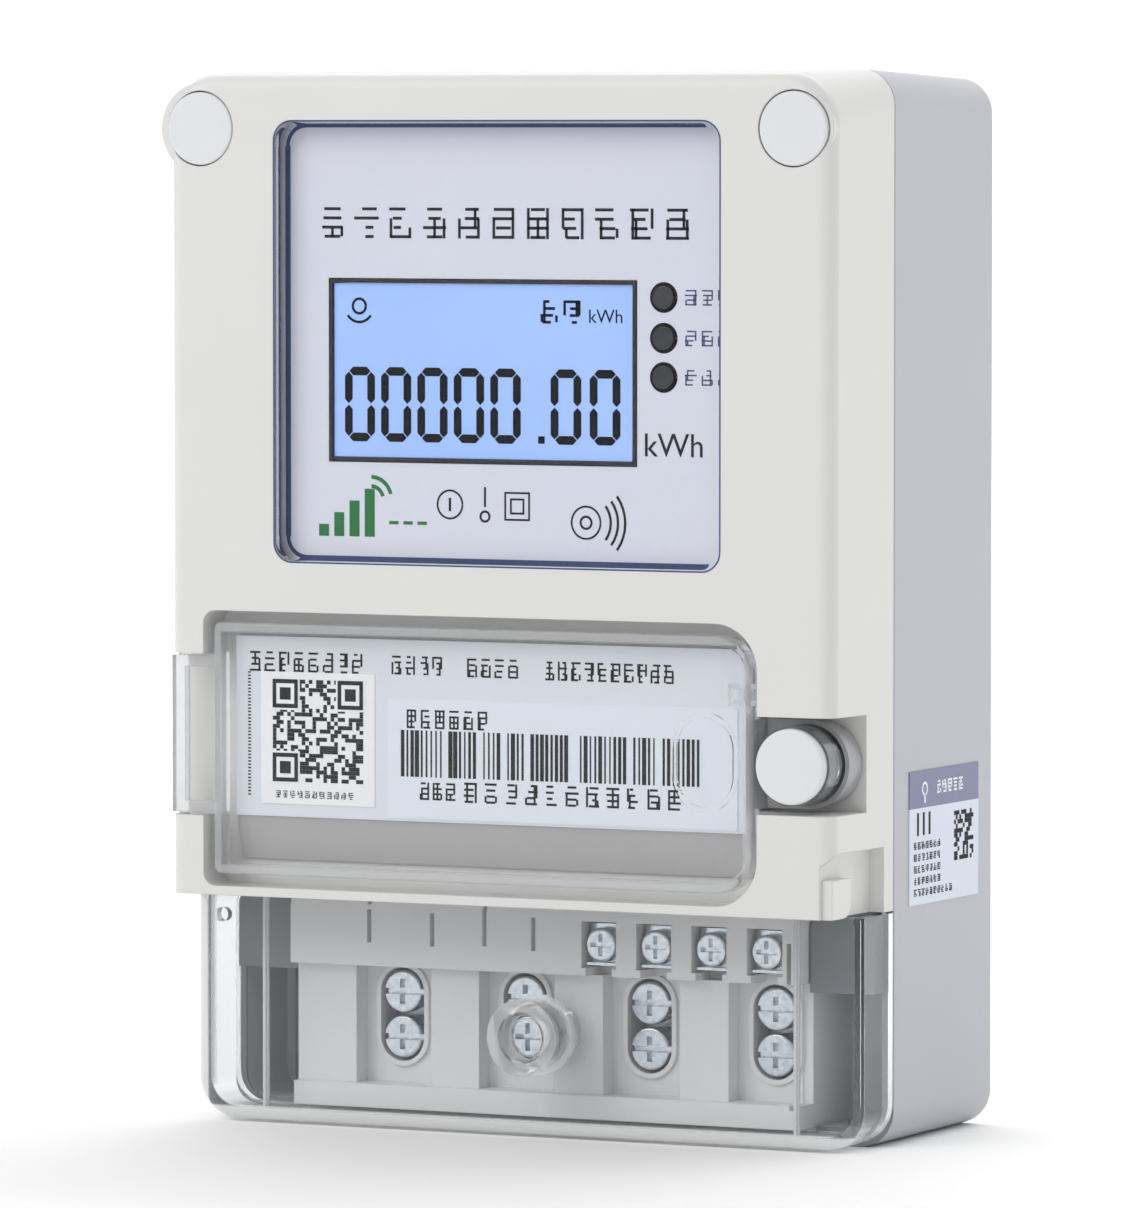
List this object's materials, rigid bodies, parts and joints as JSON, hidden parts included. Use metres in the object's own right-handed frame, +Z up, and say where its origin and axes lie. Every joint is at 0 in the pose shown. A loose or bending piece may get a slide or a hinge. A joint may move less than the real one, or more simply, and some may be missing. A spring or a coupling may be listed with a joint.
{
  "type": "prepaid electricity meter",
  "caption": "Wall-mounted single-phase prepaid electricity meter with display window, hinged clear door, screw terminals and clear terminal cover.",
  "frame": {"origin": "centre of the flat back that meets the wall", "axes": "+Z up, +X to the right seen from the front, the front faces -Y"},
  "size_m": [0.1129, 0.0585, 0.16],
  "materials": {
    "grey_abs": "fine texture",
    "white_abs": "fine texture",
    "white_cap": "fine texture",
    "terminal_grey": "moulded",
    "clear_pc": "clear polycarbonate",
    "seal_rubber": "moulded",
    "panel_print": "screen print",
    "label_print": "printed film",
    "lcd_glass": "liquid crystal cell",
    "lcd_light": "light guide",
    "black_plastic": "moulded",
    "smoke_lens": "tinted",
    "nickel_steel": "nickel plated",
    "zinc_steel": "zinc plated",
    "brass": "machined",
    "copper": "rolled copper",
    "circuit_board": "solder mask",
    "white_part": "moulded",
    "transformer": "tape and varnish",
    "blue_epoxy": "dipped epoxy"
  },
  "bodies": {
    "housing": {"rear_shell": "grey_abs", "front_cover": "white_abs", "cover_gasket": "seal_rubber", "cover_screws": "zinc_steel", "window_lens": "clear_pc", "face_panel": "panel_print", "lcd_bezel": "black_plastic", "lcd_glass": "lcd_glass", "lcd_backlight": "lcd_light", "indicator_lenses": "smoke_lens", "indicator_leds": "white_part", "display_board": "circuit_board", "module_case": "terminal_grey", "module_board": "circuit_board", "modem_can": "nickel_steel", "sim_holder": "nickel_steel", "sim_card": "white_part", "module_antenna": "white_part", "module_connector": "black_plastic", "rating_card": "label_print", "code_label": "label_print", "barcode_label": "label_print", "side_label": "label_print", "terminal_block": "terminal_grey", "signal_posts": "brass", "main_board": "circuit_board", "board_screws": "zinc_steel", "latching_relay": "white_part", "measuring_shunt": "copper", "line_out_bar": "copper", "neutral_link": "copper", "current_transformer": "black_plastic", "power_transformer": "transformer", "supply_capacitor": "black_plastic", "surge_varistor": "blue_epoxy", "backup_battery": "zinc_steel", "metering_chip": "black_plastic", "board_link": "black_plastic", "line_in_terminal": "brass", "line_out_terminal": "brass", "neutral_in_terminal": "brass", "neutral_out_terminal": "brass"},
    "clear_door": {"clear_door": "clear_pc"},
    "door_seal": {"seal_barrel": "clear_pc", "seal_cap": "white_cap", "seal_screw": "nickel_steel"},
    "terminal_cover": {"terminal_cover": "clear_pc"},
    "cover_seal_screw": {"cover_seal_screw": "nickel_steel"},
    "plug_cap_left": {"plug_cap_left": "white_cap"},
    "plug_cap_right": {"plug_cap_right": "white_cap"},
    "wall_hook": {"wall_hook": "zinc_steel"},
    "line_in_clamp_screws": {"line_in_clamp_screws": "nickel_steel"},
    "line_out_clamp_screws": {"line_out_clamp_screws": "nickel_steel"},
    "neutral_in_clamp_screws": {"neutral_in_clamp_screws": "nickel_steel"},
    "neutral_out_clamp_screws": {"neutral_out_clamp_screws": "nickel_steel"},
    "signal_clamp_1": {"signal_clamp_1": "nickel_steel"},
    "signal_clamp_2": {"signal_clamp_2": "nickel_steel"},
    "signal_clamp_3": {"signal_clamp_3": "nickel_steel"},
    "signal_clamp_4": {"signal_clamp_4": "nickel_steel"}
  },
  "joints": [
    {"name": "door_hinge", "type": "hinge", "parent": "housing", "child": "clear_door", "pos_m": [-0.054, -0.056, -0.02035], "axis": [0, 0, -1], "range_deg": [0, 115]},
    {"name": "door_seal_turn", "type": "hinge", "parent": "clear_door", "child": "door_seal", "pos_m": [0.0489, -0.054, -0.0222], "axis": [0, -1, 0], "continuous": true},
    {"name": "terminal_cover_lift_off", "type": "slide", "parent": "housing", "child": "terminal_cover", "axis": [0, -1, 0], "range_m": [0, 0.04]},
    {"name": "cover_seal_screw_back_out", "type": "slide", "parent": "terminal_cover", "child": "cover_seal_screw", "axis": [0, -1, 0], "range_m": [0, 0.008]},
    {"name": "plug_cap_left_pull", "type": "slide", "parent": "housing", "child": "plug_cap_left", "axis": [0, -1, 0], "range_m": [0, 0.012]},
    {"name": "plug_cap_right_pull", "type": "slide", "parent": "housing", "child": "plug_cap_right", "axis": [0, -1, 0], "range_m": [0, 0.012]},
    {"name": "wall_hook_slide", "type": "slide", "parent": "housing", "child": "wall_hook", "axis": [0, 0, 1], "range_m": [0, 0.015]},
    {"name": "line_in_clamp", "type": "slide", "parent": "housing", "child": "line_in_clamp_screws", "axis": [0, 1, 0], "range_m": [0, 0.0028]},
    {"name": "line_out_clamp", "type": "slide", "parent": "housing", "child": "line_out_clamp_screws", "axis": [0, 1, 0], "range_m": [0, 0.0028]},
    {"name": "neutral_in_clamp", "type": "slide", "parent": "housing", "child": "neutral_in_clamp_screws", "axis": [0, 1, 0], "range_m": [0, 0.0028]},
    {"name": "neutral_out_clamp", "type": "slide", "parent": "housing", "child": "neutral_out_clamp_screws", "axis": [0, 1, 0], "range_m": [0, 0.0028]},
    {"name": "signal_clamp_1_loosen", "type": "slide", "parent": "housing", "child": "signal_clamp_1", "axis": [0, -1, 0], "range_m": [0, 0.002]},
    {"name": "signal_clamp_2_loosen", "type": "slide", "parent": "housing", "child": "signal_clamp_2", "axis": [0, -1, 0], "range_m": [0, 0.002]},
    {"name": "signal_clamp_3_loosen", "type": "slide", "parent": "housing", "child": "signal_clamp_3", "axis": [0, -1, 0], "range_m": [0, 0.002]},
    {"name": "signal_clamp_4_loosen", "type": "slide", "parent": "housing", "child": "signal_clamp_4", "axis": [0, -1, 0], "range_m": [0, 0.002]}
  ]
}
